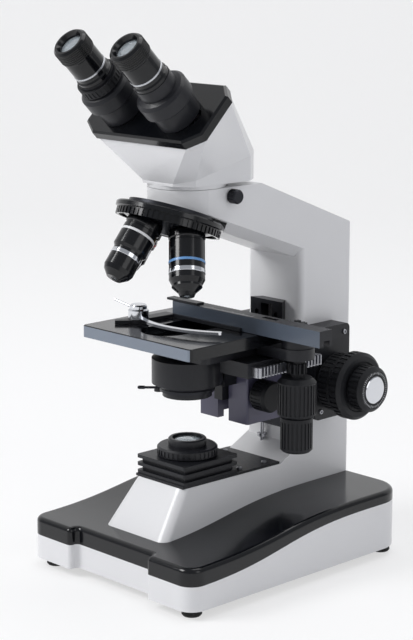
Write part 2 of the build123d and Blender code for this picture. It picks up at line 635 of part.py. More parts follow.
# Screw that clamps the head in the arm's socket
CLAMP_Y = OPTIC_Y + 16
CLAMP_Z = NOSE_TOP - 6
with BuildPart() as head_clamp_screw:
    clamp_place = (0, CLAMP_Y, CLAMP_Z)
    socket_side = (SOCKET_RADIUS ** 2 - (CLAMP_Y - 2 - OPTIC_Y) ** 2) ** 0.5
    rod(clamp_place, (1, 0, 0), 2, socket_side + 0.5, ARM_HALF + 2)
    turned(clamp_place, (1, 0, 0), [(0, ARM_HALF + 0.6), (4.2, ARM_HALF + 0.6), (5, ARM_HALF + 1.4),
                                    (5, ARM_HALF + 7), (4.2, ARM_HALF + 8), (0, ARM_HALF + 8)])
    grip_ribs(clamp_place, (1, 0, 0), 5, ARM_HALF + 1.8, ARM_HALF + 6.8, 16, 0.5)
head_clamp_screw.part.label = "head_clamp_screw"
export_step(head_clamp_screw.part.moved(TO_MIDDLE), "parts/head_clamp_screw.step")

# Focus housings: one on each side of the arm, with the boss that carries the shaft
with BuildPart() as focus_housings:
    for side in (-1, 1):
        low, high = sorted((side * ARM_HALF, side * HOUSING_OUT))
        with BuildSketch(Plane.YZ.offset(low)) as housing_face:
            with Locations((FOCUS_Y, (HOUSING_BOTTOM + HOUSING_TOP) / 2)):
                RectangleRounded(HOUSING_DEPTH, HOUSING_TOP - HOUSING_BOTTOM, 4)
        extrude(housing_face.sketch, amount=high - low)
        rod((0, FOCUS_Y, FOCUS_Z), (side, 0, 0), BOSS_RADIUS, HOUSING_OUT, BOSS_OUT)
    rod((0, FOCUS_Y, FOCUS_Z), (-1, 0, 0), TENSION_RADIUS - 2, HOUSING_OUT, BOSS_OUT - 1)
    rod((0, FOCUS_Y, FOCUS_Z), (1, 0, 0), COARSE_SHAFT_RADIUS + RUNNING, -BOSS_OUT - 1, BOSS_OUT + 1,
        Mode.SUBTRACT)
focus_housings.part.label = "focus_housings"
export_step(focus_housings.part.moved(TO_MIDDLE), "parts/focus_housings.step")

# Tension collar on the right boss
FOCUS = (0, FOCUS_Y, FOCUS_Z)
RIGHT = (1, 0, 0)
LEFT = (-1, 0, 0)
with BuildPart() as tension_ring:
    turned(FOCUS, RIGHT, [(BOSS_RADIUS + GAP, HOUSING_OUT + 3), (TENSION_RADIUS - 1, HOUSING_OUT + 3),
                          (TENSION_RADIUS, HOUSING_OUT + 4), (TENSION_RADIUS, BOSS_OUT - 1),
                          (TENSION_RADIUS - 1, BOSS_OUT), (BOSS_RADIUS + GAP, BOSS_OUT)])
    grip_ribs(FOCUS, RIGHT, TENSION_RADIUS, HOUSING_OUT + 5, BOSS_OUT - 2, RIB_COUNT, 0.6)
tension_ring.part.label = "tension_ring"
export_step(tension_ring.part.moved(TO_MIDDLE), "parts/tension_ring.step")

# Coarse drive: hollow shaft with its pinion, and the pair of large knobs
with BuildPart() as coarse_shaft:
    rod(FOCUS, RIGHT, COARSE_SHAFT_RADIUS, -COARSE_OUT, COARSE_OUT)
    with BuildSketch(Plane(origin=(-5, FOCUS_Y, FOCUS_Z), x_dir=(0, -1, 0), z_dir=(1, 0, 0))):
        add(pinion_sketch(COARSE_TEETH))
    extrude(amount=10)
    rod(FOCUS, RIGHT, FINE_SHAFT_RADIUS + RUNNING, -COARSE_OUT - 1, COARSE_OUT + 1, Mode.SUBTRACT)
coarse_shaft.part.label = "coarse_shaft"
export_step(coarse_shaft.part.moved(TO_MIDDLE), "parts/coarse_shaft.step")

with BuildPart() as coarse_knobs:
    for way in (LEFT, RIGHT):
        turned(FOCUS, way, [(COARSE_SHAFT_RADIUS + SEAT, COARSE_IN), (COARSE_RADIUS - 2.2, COARSE_IN),
                            (COARSE_RADIUS, COARSE_IN + 2.2), (COARSE_RADIUS, COARSE_OUT - 2.5),
                            (COARSE_RADIUS - 2.5, COARSE_OUT), (FINE_RADIUS + 2, COARSE_OUT),
                            (FINE_RADIUS + 1, COARSE_OUT - 1), (COARSE_SHAFT_RADIUS + SEAT, COARSE_OUT - 1)])
        grip_ribs(FOCUS, way, COARSE_RADIUS, COARSE_IN + 3, COARSE_OUT - 3, RIB_COUNT, 0.7)
coarse_knobs.part.label = "coarse_knobs"
export_step(coarse_knobs.part.moved(TO_MIDDLE), "parts/coarse_knobs.step")

# Fine drive: the inner shaft with its bright end caps, and the pair of small knobs
with BuildPart() as fine_shaft:
    rod(FOCUS, RIGHT, FINE_SHAFT_RADIUS, -FINE_OUT + 1, FINE_OUT - 1)
    for way in (LEFT, RIGHT):
        turned(FOCUS, way, [(0, FINE_OUT - 2), (CAP_RADIUS, FINE_OUT - 2), (CAP_RADIUS, FINE_OUT + 0.2),
                            (CAP_RADIUS - 0.6, FINE_OUT + 0.6), (0, FINE_OUT + 0.6)])
fine_shaft.part.label = "fine_shaft"
export_step(fine_shaft.part.moved(TO_MIDDLE), "parts/fine_shaft.step")

with BuildPart() as fine_knobs:
    for way in (LEFT, RIGHT):
        turned(FOCUS, way, [(FINE_SHAFT_RADIUS + SEAT, FINE_IN), (FINE_RADIUS - 1, FINE_IN),
                            (FINE_RADIUS, FINE_IN + 1), (FINE_RADIUS, FINE_OUT - 2.5),
                            (FINE_RADIUS - 2.5, FINE_OUT), (CAP_RADIUS + SEAT, FINE_OUT),
                            (CAP_RADIUS + SEAT, FINE_OUT - 2), (FINE_SHAFT_RADIUS + SEAT, FINE_OUT - 2)])
        grip_ribs(FOCUS, way, FINE_RADIUS, FINE_IN + 1.5, FINE_OUT - 3.2, 28, 0.6)
fine_knobs.part.label = "fine_knobs"
export_step(fine_knobs.part.moved(TO_MIDDLE), "parts/fine_knobs.step")

# Guide way: the dovetail bolted to the arm, slotted for the rack
spread = (ARM_FRONT - GUIDE_FRONT) / tan(radians(DOVETAIL_ANGLE))
with BuildPart() as guide_way:
    with BuildSketch(Plane.XY.offset(GUIDE_BOTTOM)):
        with BuildLine():
            Polyline((-GUIDE_HALF, GUIDE_FRONT), (GUIDE_HALF, GUIDE_FRONT),
                     (GUIDE_HALF - spread, ARM_FRONT), (-GUIDE_HALF + spread, ARM_FRONT), close=True)
        make_face()
    extrude(amount=GUIDE_TOP - GUIDE_BOTTOM)
    block((-RACK_HALF - 1.5, RACK_HALF + 1.5), (GUIDE_FRONT - 1, ARM_FRONT + 1),
          (GUIDE_BOTTOM + 3, GUIDE_TOP - 3), Mode.SUBTRACT)
    for z in (GUIDE_BOTTOM + 1.5, GUIDE_TOP - 1.5):
        for x in (-9.5, 9.5):
            rod((x, 0, z + (9 if z < 100 else -9)), (0, 1, 0), 2.2, GUIDE_FRONT - 1, GUIDE_FRONT + 2,
                Mode.SUBTRACT)
guide_way.part.label = "guide_way"
export_step(guide_way.part.moved(TO_MIDDLE), "parts/guide_way.step")

# Carriage: rides on the dovetail and carries the rack
CARRIAGE_BACK = ARM_FRONT - 0.6
with BuildPart() as carriage:
    block((-CARRIAGE_HALF, CARRIAGE_HALF), (CARRIAGE_FRONT, CARRIAGE_BACK),
          (CARRIAGE_BOTTOM, CARRIAGE_TOP))
    fillet(carriage.edges().filter_by(Axis.Z).sort_by(Axis.Y)[-2:], radius=1.5)
    with BuildSketch(Plane.XY.offset(CARRIAGE_BOTTOM - 1)):
        with BuildLine():
            Polyline((-GUIDE_HALF - GAP, GUIDE_FRONT - GAP), (GUIDE_HALF + GAP, GUIDE_FRONT - GAP),
                     (GUIDE_HALF + GAP - spread, ARM_FRONT), (-GUIDE_HALF - GAP + spread, ARM_FRONT),
                     close=True)
        make_face()
    extrude(amount=CARRIAGE_TOP - CARRIAGE_BOTTOM + 2, mode=Mode.SUBTRACT)
carriage.part.label = "carriage"
export_step(carriage.part.moved(TO_MIDDLE), "parts/carriage.step")

RACK_Y = FOCUS_Y - COARSE_PITCH
with BuildPart() as focus_rack:
    with BuildSketch(Plane(origin=(-RACK_HALF, RACK_Y, FOCUS_Z), x_dir=(0, 0, -1),
                           z_dir=(1, 0, 0))):
        add(rack_sketch(16 * TOOTH_PITCH, 3))
    extrude(amount=2 * RACK_HALF)
    block((-RACK_HALF, RACK_HALF), (GUIDE_FRONT - GAP, RACK_Y - ROOT - 2),
          (FOCUS_Z - 20, FOCUS_Z + 20))
focus_rack.part.label = "focus_rack"
export_step(focus_rack.part.moved(TO_MIDDLE), "parts/focus_rack.step")

# Stop rod: limits how far the stage comes down
with BuildPart() as stop_rod:
    turned((-8, ARM_FRONT - 3.5, 0), UP,
           [(0, ARM_LEDGE - 6), (1.4, ARM_LEDGE - 6), (1.4, ARM_LEDGE + 1), (3.4, ARM_LEDGE + 1),
            (3.4, ARM_LEDGE + 3.4), (1.4, ARM_LEDGE + 3.4), (1.4, GUIDE_BOTTOM - 0.5),
            (0, GUIDE_BOTTOM - 0.5)])
stop_rod.part.label = "stop_rod"
export_step(stop_rod.part.moved(TO_MIDDLE), "parts/stop_rod.step")

# Stage bracket: a deep casting, open below, that holds the stage and the condenser slide
with BuildPart() as stage_bracket:
    block((-BRACKET_HALF, BRACKET_HALF), (BRACKET_FRONT, CARRIAGE_FRONT),
          (BRACKET_BOTTOM, LOWER_BOTTOM))
    fillet(stage_bracket.edges().filter_by(Axis.Z).sort_by(Axis.Y)[:2], radius=1.5)
    block((-BRACKET_HALF + BRACKET_WALL, BRACKET_HALF - BRACKET_WALL),
          (BRACKET_FRONT + BRACKET_WALL, CARRIAGE_FRONT - BRACKET_WALL),
          (BRACKET_BOTTOM - 1, LOWER_BOTTOM - 8), Mode.SUBTRACT)
    block((-RACK_HALF - 1.5, RACK_HALF + 1.5), (BRACKET_FRONT - 1, BRACKET_FRONT + BRACKET_WALL + 1),
          (BRACKET_BOTTOM - 1, LOWER_BOTTOM - 1.5), Mode.SUBTRACT)
    rod((0, CONDENSER_KNOB_Y, CONDENSER_KNOB_Z), RIGHT, 3 + RUNNING, -BRACKET_HALF - 1,
        BRACKET_HALF + 1, Mode.SUBTRACT)
stage_bracket.part.label = "stage_bracket"
export_step(stage_bracket.part.moved(TO_MIDDLE), "parts/stage_bracket.step")

# Lower stage plate with the rail that carries the Y rack
with BuildPart() as stage_lower_plate:
    with BuildSketch(Plane.XY.offset(LOWER_BOTTOM)):
        with Locations((0, (LOWER_FRONT + LOWER_BACK) / 2)):
            RectangleRounded(2 * LOWER_HALF, LOWER_BACK - LOWER_FRONT, 5)
        with Locations((0, OPTIC_Y)):
            Circle(CONDENSER_NECK + 3, mode=Mode.SUBTRACT)
    extrude(amount=LOWER_THICKNESS)
    block((LOWER_HALF - 10, RAIL_OUT), (-26, LOWER_BACK), (RAIL_BOTTOM, LOWER_BOTTOM))
    block((LOWER_HALF - 2, RAIL_OUT), (-26, LOWER_BACK), (LOWER_BOTTOM - 4, LOWER_BOTTOM))
stage_lower_plate.part.label = "stage_lower_plate"
export_step(stage_lower_plate.part.moved(TO_MIDDLE), "parts/stage_lower_plate.step")

Y_RACK_X = COAX_X - COAX_PITCH
PINION_BOTTOM = RAIL_BOTTOM + 1
with BuildPart() as y_rack:
    with BuildSketch(Plane(origin=(Y_RACK_X, COAX_Y, PINION_BOTTOM), x_dir=(0, 1, 0),
                           z_dir=(0, 0, 1))):
        add(rack_sketch(20 * TOOTH_PITCH, Y_RACK_X - ROOT - RAIL_OUT).mirror(Plane.XZ))
    extrude(amount=PINION_HEIGHT)
y_rack.part.label = "y_rack"
export_step(y_rack.part.moved(TO_MIDDLE), "parts/y_rack.step")

# Top stage plate, with the long opening for the light and the rail that guides the bar
RAIL_Y = (BAR_FRONT + BAR_BACK) / 2
with BuildPart() as stage_top_plate:
    with BuildSketch(Plane.XY.offset(STAGE_LOW)):
        with Locations((0, (STAGE_FRONT + STAGE_BACK) / 2)):
            RectangleRounded(2 * STAGE_HALF, STAGE_BACK - STAGE_FRONT, 3)
        with Locations((0, OPTIC_Y)):
            SlotCenterToCenter(2 * STAGE_TRAVEL_Y, 2 * SLOT_HALF, rotation=90, mode=Mode.SUBTRACT)
    extrude(amount=STAGE_THICKNESS)
    chamfer(stage_top_plate.faces().sort_by(Axis.Z)[-1].outer_wire().edges(), length=0.6)
    block((18, STAGE_HALF - 1), (RAIL_Y - 2.5, RAIL_Y + 2.5), (STAGE_TOP, STAGE_TOP + 4))
stage_top_plate.part.label = "stage_top_plate"
export_step(stage_top_plate.part.moved(TO_MIDDLE), "parts/stage_top_plate.step")

# Housing of the stage's coaxial drive, under the right edge of the top plate
COAX = (COAX_X, COAX_Y, 0)
HOUSING_LOW = LOWER_BOTTOM + 1
with BuildPart() as coax_housing:
    with BuildSketch(Plane.XY.offset(HOUSING_LOW)):
        with Locations((COAX_X, COAX_Y)):
            Circle(12)
        with Locations(((LOWER_HALF + 3 + COAX_X) / 2, COAX_Y)):
            Rectangle(COAX_X - LOWER_HALF - 3, 24)
    extrude(amount=STAGE_LOW - HOUSING_LOW)
    rod(COAX, UP, 11, STAGE_LOW, STAGE_TOP - 0.5)
    rod(COAX, UP, X_SHAFT_RADIUS + RUNNING, HOUSING_LOW - 1, STAGE_TOP + 1, Mode.SUBTRACT)
    rod(COAX, UP, Y_SHAFT_RADIUS + RUNNING, HOUSING_LOW - 1, HOUSING_LOW + 5, Mode.SUBTRACT)
coax_housing.part.label = "coax_housing"
export_step(coax_housing.part.moved(TO_MIDDLE), "parts/coax_housing.step")

with BuildPart() as y_knob:
    turned(COAX, UP, [(0, Y_KNOB_BOTTOM), (Y_KNOB_RADIUS - 1, Y_KNOB_BOTTOM),
                      (Y_KNOB_RADIUS, Y_KNOB_BOTTOM + 1), (Y_KNOB_RADIUS, Y_KNOB_TOP - 3),
                      (Y_KNOB_RADIUS - 3, Y_KNOB_TOP), (Y_SHAFT_RADIUS, Y_KNOB_TOP),
                      (Y_SHAFT_RADIUS, HOUSING_LOW + 4.7), (0, HOUSING_LOW + 4.7)])
    with BuildSketch(Plane(origin=(COAX_X, COAX_Y, PINION_BOTTOM), x_dir=(-1, 0, 0), z_dir=(0, 0, 1))):
        add(pinion_sketch(COAX_TEETH))
    extrude(amount=PINION_HEIGHT)
    grip_ribs(COAX, UP, Y_KNOB_RADIUS, Y_KNOB_BOTTOM + 2, Y_KNOB_TOP - 4, 28, 0.6)
    rod(COAX, UP, X_SHAFT_RADIUS + RUNNING, Y_KNOB_BOTTOM - 1, HOUSING_LOW + 6, Mode.SUBTRACT)
y_knob.part.label = "y_knob"
export_step(y_knob.part.moved(TO_MIDDLE), "parts/y_knob.step")

X_RACK_Y = COAX_Y - COAX_PITCH
with BuildPart() as x_knob:
    turned(COAX, UP, [(0, X_KNOB_BOTTOM), (X_KNOB_RADIUS - 1.5, X_KNOB_BOTTOM),
                      (X_KNOB_RADIUS, X_KNOB_BOTTOM + 1.5), (X_KNOB_RADIUS, Y_KNOB_BOTTOM - GAP - 1),
                      (X_KNOB_RADIUS - 1, Y_KNOB_BOTTOM - GAP), (X_SHAFT_RADIUS, Y_KNOB_BOTTOM - GAP),
                      (X_SHAFT_RADIUS, BAR_TOP - 1.5), (0, BAR_TOP - 1.5)])
    with BuildSketch(Plane(origin=(COAX_X, COAX_Y, BAR_BOTTOM + 1), x_dir=(0, -1, 0),
                           z_dir=(0, 0, 1))):
        add(pinion_sketch(COAX_TEETH))
    extrude(amount=PINION_HEIGHT)
    grip_ribs(COAX, UP, X_KNOB_RADIUS, X_KNOB_BOTTOM + 3, Y_KNOB_BOTTOM - 4, 24, 0.6)
x_knob.part.label = "x_knob"
export_step(x_knob.part.moved(TO_MIDDLE), "parts/x_knob.step")

# Cross bar: slides in X and carries the slide holder; rack teeth along its back
BAR_MIDDLE = COAX_X - round((COAX_X - (BAR_LEFT + BAR_RIGHT) / 2) / TOOTH_PITCH) * TOOTH_PITCH
with BuildPart() as x_bar:
    block((BAR_LEFT, BAR_RIGHT), (BAR_FRONT, BAR_BACK - 2), (BAR_BOTTOM, BAR_TOP))
    with BuildSketch(Plane.XY.offset(BAR_BOTTOM)):
        with Locations((BAR_MIDDLE, X_RACK_Y)):
            add(rack_sketch(44 * TOOTH_PITCH, X_RACK_Y - ROOT - BAR_BACK + 2.5))
    extrude(amount=BAR_HEIGHT - 1)
    block((BAR_LEFT - 1, BAR_RIGHT + 1), (RAIL_Y - 2.5 - GAP, RAIL_Y + 2.5 + GAP),
          (BAR_BOTTOM - 1, STAGE_TOP + 4 + GAP), Mode.SUBTRACT)
    with Locations((60, RAIL_Y, BAR_TOP)):
        Box(14, 4, 3, mode=Mode.SUBTRACT)
    block((BAR_LEFT - 7, BAR_LEFT + 24), (BAR_FRONT + 1, BAR_FRONT + 8), (BAR_TOP, BAR_TOP + 1.6))
x_bar.part.label = "x_bar"
export_step(x_bar.part.moved(TO_MIDDLE), "parts/x_bar.step")

# Slide holder: the angle that the glass slide rests in
with BuildPart() as slide_holder:
    with BuildSketch(Plane.XY.offset(BAR_BOTTOM)):
        with BuildLine():
            Polyline((BAR_LEFT + 70, BAR_FRONT), (BAR_LEFT + 70, BAR_FRONT - 2), (POST_X + 6, BAR_FRONT - 2),
                     (POST_X + 4, POST_Y), (POST_X + 1, POST_Y - 9), (POST_X - 6, POST_Y - 17),
                     (POST_X - 9, POST_Y - 14), (POST_X - 5, POST_Y), (POST_X - 4, BAR_FRONT),
                     close=True)
        make_face()
    extrude(amount=HOLDER_THICKNESS)
    rod((POST_X, POST_Y, 0), UP, 2.5 + RUNNING, BAR_BOTTOM - 1, HOLDER_TOP + 1, Mode.SUBTRACT)
    rod((POST_X, POST_Y, 0), UP, POST_RADIUS, BAR_BOTTOM, HOLDER_TOP)
    rod((POST_X, POST_Y, 0), UP, 2.5 + RUNNING, BAR_BOTTOM - 1, HOLDER_TOP + 1, Mode.SUBTRACT)
slide_holder.part.label = "slide_holder"
export_step(slide_holder.part.moved(TO_MIDDLE), "parts/slide_holder.step")

# Clip finger: the sprung curved arm with its round post and release lever
FINGER_BOTTOM = HOLDER_TOP + GAP
with BuildPart() as clip_finger:
    with BuildSketch(Plane.XY.offset(FINGER_BOTTOM)) as finger_plan:
        with BuildLine():
            CenterArc((POST_X + CLIP_REACH / 2, POST_Y + 62), 72, 235, 70)
            offset(amount=2)
        make_face()
    extrude(amount=1.8)
    turned((POST_X, POST_Y, 0), UP,
           [(0, BAR_BOTTOM), (2.5, BAR_BOTTOM), (2.5, FINGER_BOTTOM), (POST_RADIUS, FINGER_BOTTOM),
            (POST_RADIUS, FINGER_BOTTOM + 6), (POST_RADIUS - 1.2, FINGER_BOTTOM + 7),
            (POST_RADIUS - 1.2, FINGER_BOTTOM + POST_HEIGHT - 1), (POST_RADIUS - 2, FINGER_BOTTOM + POST_HEIGHT),
            (0, FINGER_BOTTOM + POST_HEIGHT)])
    rod((POST_X, POST_Y, FINGER_BOTTOM + 6), (-1, -0.15, 0.22), 0.9, 4, 22)
clip_finger.part.label = "clip_finger"
export_step(clip_finger.part.moved(TO_MIDDLE), "parts/clip_finger.step")

# Condenser: carrier with its rack, body, lens, iris lever, filter ring and knob
with BuildPart() as condenser_carrier:
    turned(OPTIC, UP, [(CONDENSER_LOW_RADIUS + SEAT, 137), (CONDENSER_RADIUS, 137),
                       (CONDENSER_RADIUS, CONDENSER_STEP), (CONDENSER_LOW_RADIUS + SEAT, CONDENSER_STEP)])
    block((-14, 14), (OPTIC_Y + 23, BRACKET_FRONT - GAP), (132, 152))
    rod(OPTIC, UP, CONDENSER_RADIUS, CONDENSER_STEP, 153, Mode.SUBTRACT)
    rod(OPTIC, UP, CONDENSER_LOW_RADIUS + SEAT, 130, CONDENSER_STEP, Mode.SUBTRACT)
    rack_y = CONDENSER_KNOB_Y - CONDENSER_PITCH
    with BuildSketch(Plane(origin=(-RACK_HALF, rack_y, CONDENSER_KNOB_Z), x_dir=(0, 0, -1),
                           z_dir=(1, 0, 0))):
        with Locations((-4 * TOOTH_PITCH, 0)):
            add(rack_sketch(12 * TOOTH_PITCH, rack_y - ROOT - CARRIER_FRONT))
    extrude(amount=2 * RACK_HALF)
condenser_carrier.part.label = "condenser_carrier"
export_step(condenser_carrier.part.moved(TO_MIDDLE), "parts/condenser_carrier.step")

with BuildPart() as condenser_body:
    turned(OPTIC, UP, [(11.5, CONDENSER_BOTTOM), (CONDENSER_LOW_RADIUS - 1.5, CONDENSER_BOTTOM),
                       (CONDENSER_LOW_RADIUS, CONDENSER_BOTTOM + 1.5), (CONDENSER_LOW_RADIUS, CONDENSER_STEP),
                       (CONDENSER_RADIUS, CONDENSER_STEP), (CONDENSER_RADIUS, CONDENSER_SHOULDER),
                       (CONDENSER_NECK + 3, CONDENSER_SHOULDER + 3), (CONDENSER_NECK, CONDENSER_SHOULDER + 6),
                       (CONDENSER_NECK, CONDENSER_TOP - 1.5), (CONDENSER_NECK - 2, CONDENSER_TOP),
                       (9 + SEAT, CONDENSER_TOP), (9 + SEAT, CONDENSER_TOP - 6), (11.5, CONDENSER_TOP - 8)])
condenser_body.part.label = "condenser_body"
export_step(condenser_body.part.moved(TO_MIDDLE), "parts/condenser_body.step")

with BuildPart() as condenser_lens:
    turned(OPTIC, UP, [(0, CONDENSER_TOP - 6), (9, CONDENSER_TOP - 6), (9, CONDENSER_TOP - 1.6),
                       (6.5, CONDENSER_TOP - 0.8), (3, CONDENSER_TOP - 0.3), (0, CONDENSER_TOP - 0.2)])
condenser_lens.part.label = "condenser_lens"
export_step(condenser_lens.part.moved(TO_MIDDLE), "parts/condenser_lens.step")

IRIS_Z = CONDENSER_BOTTOM - GAP
with BuildPart() as iris_lever:
    turned(OPTIC, UP, [(10, IRIS_Z - 2.2), (19.5, IRIS_Z - 2.2), (19.5, IRIS_Z), (10, IRIS_Z)])
    rod((0, OPTIC_Y, IRIS_Z - 1.1), (-0.72, -0.69, 0), 0.9, 18, 31)
    turned((0, OPTIC_Y, IRIS_Z - 1.1), (-0.72, -0.69, 0), [(0, 30), (1.25, 30), (1.25, 34), (0.8, 35), (0, 35)])
iris_lever.part.label = "iris_lever"
export_step(iris_lever.part.moved(TO_MIDDLE), "parts/iris_lever.step")

FILTER_Z = IRIS_Z - 2.2 - GAP
HINGE_X = -19
with BuildPart() as filter_holder:
    turned(OPTIC, UP, [(14.5, FILTER_Z - 1.4), (15.4, FILTER_Z - 3.4), (17.5, FILTER_Z - 3.4),
                       (17.5, FILTER_Z), (16, FILTER_Z), (16, FILTER_Z - 1.4)])
    with BuildSketch(Plane.XY.offset(FILTER_Z - 3)):
        with Locations((HINGE_X - 1, OPTIC_Y - 9)):
            Circle(3.2)
        with BuildLine():
            Polyline((HINGE_X - 4, OPTIC_Y - 9), (HINGE_X + 1, OPTIC_Y - 11.5),
                     (HINGE_X + 4.5, OPTIC_Y - 5), (HINGE_X + 2, OPTIC_Y), close=True)
        make_face()
    extrude(amount=3)
filter_holder.part.label = "filter_holder"
export_step(filter_holder.part.moved(TO_MIDDLE), "parts/filter_holder.step")

with BuildPart() as condenser_knob:
    knob_place = (0, CONDENSER_KNOB_Y, CONDENSER_KNOB_Z)
    rod(knob_place, RIGHT, 3, -BRACKET_HALF - 3, BRACKET_HALF + 8)
    with BuildSketch(Plane(origin=(-4.5, CONDENSER_KNOB_Y, CONDENSER_KNOB_Z), x_dir=(0, -1, 0),
                           z_dir=(1, 0, 0))):
        add(pinion_sketch(CONDENSER_PINION_TEETH))
    extrude(amount=9)
    turned(knob_place, RIGHT, [(0, BRACKET_HALF + 3), (CONDENSER_KNOB_RADIUS - 1, BRACKET_HALF + 3),
                               (CONDENSER_KNOB_RADIUS, BRACKET_HALF + 4),
                               (CONDENSER_KNOB_RADIUS, BRACKET_HALF + 15),
                               (CONDENSER_KNOB_RADIUS - 1.5, BRACKET_HALF + 17), (0, BRACKET_HALF + 17)])
    grip_ribs(knob_place, RIGHT, CONDENSER_KNOB_RADIUS, BRACKET_HALF + 5, BRACKET_HALF + 14, 24, 0.6)
condenser_knob.part.label = "condenser_knob"
export_step(condenser_knob.part.moved(TO_MIDDLE), "parts/condenser_knob.step")

# Nosepiece: the fixed mount under the arm's nose and the turning turret
with BuildPart() as nosepiece_mount:
    rod(APEX, TURRET_DIRECTION, 30, MOUNT_TOP, TURRET_TOP - GAP)
    rod(APEX, TURRET_DIRECTION, 5, TURRET_TOP - 1, TURRET_FACE + 1)
    rod(APEX, TURRET_DIRECTION, 9, TURRET_FACE + GAP, TURRET_FACE + 2.3)
    rod(OPTIC, UP, LIGHT_RADIUS, 230, NOSE_TOP, Mode.SUBTRACT)
nosepiece_mount.part.label = "nosepiece_mount"
export_step(nosepiece_mount.part.moved(TO_MIDDLE), "parts/nosepiece_mount.step")


def objective_direction(turn):
    """The way an objective points when it sits at this angle from the one in use."""
    axis = Axis((0, 0, 0), TURRET_DIRECTION)
    way = Vector(0, 0, -1).rotate(axis, turn)
    return (way.X, way.Y, way.Z)


with BuildPart() as turret:
    seat_front = OBJECTIVE_SEAT - SEAT_FACE
    turned(APEX, TURRET_DIRECTION,
           [(5 + RUNNING, TURRET_TOP), (TURRET_RADIUS - 1, TURRET_TOP), (TURRET_RADIUS, TURRET_TOP + 1),
            (TURRET_RADIUS, TURRET_RIM - 0.8), (TURRET_RADIUS - 1.2, TURRET_RIM),
            (TURRET_RADIUS - 1.2, TURRET_KNURL), (SKIRT_INSIDE, TURRET_KNURL),
            (SKIRT_INSIDE, (seat_front - SKIRT_INSIDE * sin(tilt)) / cos(tilt)),
            (CENTRE_RECESS, (seat_front - CENTRE_RECESS * sin(tilt)) / cos(tilt)),
            (CENTRE_RECESS, TURRET_FACE), (5 + RUNNING, TURRET_FACE)])
    for turn in (0, 90, 180, 270):
        way = objective_direction(turn)
        rod(APEX, way, LIGHT_RADIUS - 1.5, TURRET_TOP - 2, OBJECTIVE_SEAT + 1, Mode.SUBTRACT)
        rod(APEX, way, THREAD_RADIUS + SEAT, OBJECTIVE_SEAT - THREAD_LENGTH - 0.5, OBJECTIVE_SEAT + 1,
            Mode.SUBTRACT)
    grip_ribs(APEX, TURRET_DIRECTION, TURRET_RADIUS - 1.2, TURRET_RIM + 0.4, TURRET_KNURL, 60, 0.7)
turret.part.label = "turret"
export_step(turret.part.moved(TO_MIDDLE), "parts/turret.step")

# Objectives: name, place on the turret, and the outline of the barrel below the flange
objectives = {
    "objective_10x": (0, [(12.3, 14), (10.6, 15), (10.6, 27), (9.4, 29), (6.5, 38)], 4.0),
    "objective_40x": (90, [(12.3, 33), (11.2, 35), (10.4, 36.5), (10.4, 38), (6, 42), (5, 44.4)], 2.2),
    "objective_100x": (180, [(12.3, 22), (10.8, 24), (10.8, 38), (9.5, 41), (5.5, 44.8)], 1.8),
    "objective_4x": (270, [(12.3, 12), (11.2, 13), (11.2, 24), (9.8, 26), (9, 30)], 6.5),
}
for name, (turn, barrel, window) in objectives.items():
    way = objective_direction(turn)
    tip = barrel[-1][1]
    outline = [(window, -THREAD_LENGTH), (THREAD_RADIUS, -THREAD_LENGTH), (THREAD_RADIUS, 0), (12.6, 0),
               (12.6, 4), (11.9, 4.6), (11.9, 6), (12.3, 6.6)] + barrel
    outline += [(window, tip)]
    with BuildPart() as objective:
        turned(APEX, way, [(r, OBJECTIVE_SEAT + h) for r, h in outline])
        grip_ribs(APEX, way, 12.6, OBJECTIVE_SEAT + 0.5, OBJECTIVE_SEAT + 4, 30, 0.4)
    objective.part.label = name
    export_step(objective.part.moved(TO_MIDDLE), f"parts/{name}.step")

with BuildPart() as objective_lenses:
    for turn, barrel, window in objectives.values():
        tip = OBJECTIVE_SEAT + barrel[-1][1]
        rod(APEX, objective_direction(turn), window - SEAT, tip - 3, tip - 0.4)
objective_lenses.part.label = "objective_lenses"
export_step(objective_lenses.part.moved(TO_MIDDLE), "parts/objective_lenses.step")

# Head: the white wedge with its round foot, the black plate and the prism behind it
HEAD_BACK = 17
plate_outline = [(-PLATE_LOW_HALF, PLATE_LOW), (PLATE_LOW_HALF, PLATE_LOW),
                 (PLATE_HALF, PLATE_LOW + PLATE_CORNER), (PLATE_HALF, PLATE_HIGH - PLATE_CORNER),
                 (PLATE_HIGH_HALF, PLATE_HIGH), (-PLATE_HIGH_HALF, PLATE_HIGH),
                 (-PLATE_HALF, PLATE_HIGH - PLATE_CORNER), (-PLATE_HALF, PLATE_LOW + PLATE_CORNER)]
waist = [(-15, -54), (15, -54), (27, -44), (29, 6), (21, HEAD_BACK), (-21, HEAD_BACK), (-29, 6), (-27, -44)]
WAIST_FRONT = 281
WAIST_TILT = 14
WAIST_PLANE = Plane(origin=(0, -54, WAIST_FRONT), x_dir=(1, 0, 0),
                    z_dir=(0, -sin(radians(WAIST_TILT)), cos(radians(WAIST_TILT))))


def outline_face(plane, points, inset):
    """A polygon face on a plane, drawn in by the inset."""
    with BuildSketch(plane) as area:
        with BuildLine():
            Polyline(*points, close=True)
        make_face()
        if inset:
            offset(amount=-inset, kind=Kind.INTERSECTION)
    return area.sketch.face()


waist_on_slope = [(x, (y + 54) / cos(radians(WAIST_TILT))) for x, y in waist]
plate_under = PLATE_PLANE.offset(-PLATE_THICKNESS)
with BuildPart() as head_room:
    loft([outline_face(plate_under, plate_outline, HEAD_WALL + 1.5),
          outline_face(WAIST_PLANE.offset(HEAD_WALL), waist_on_slope, HEAD_WALL)], ruled=True)

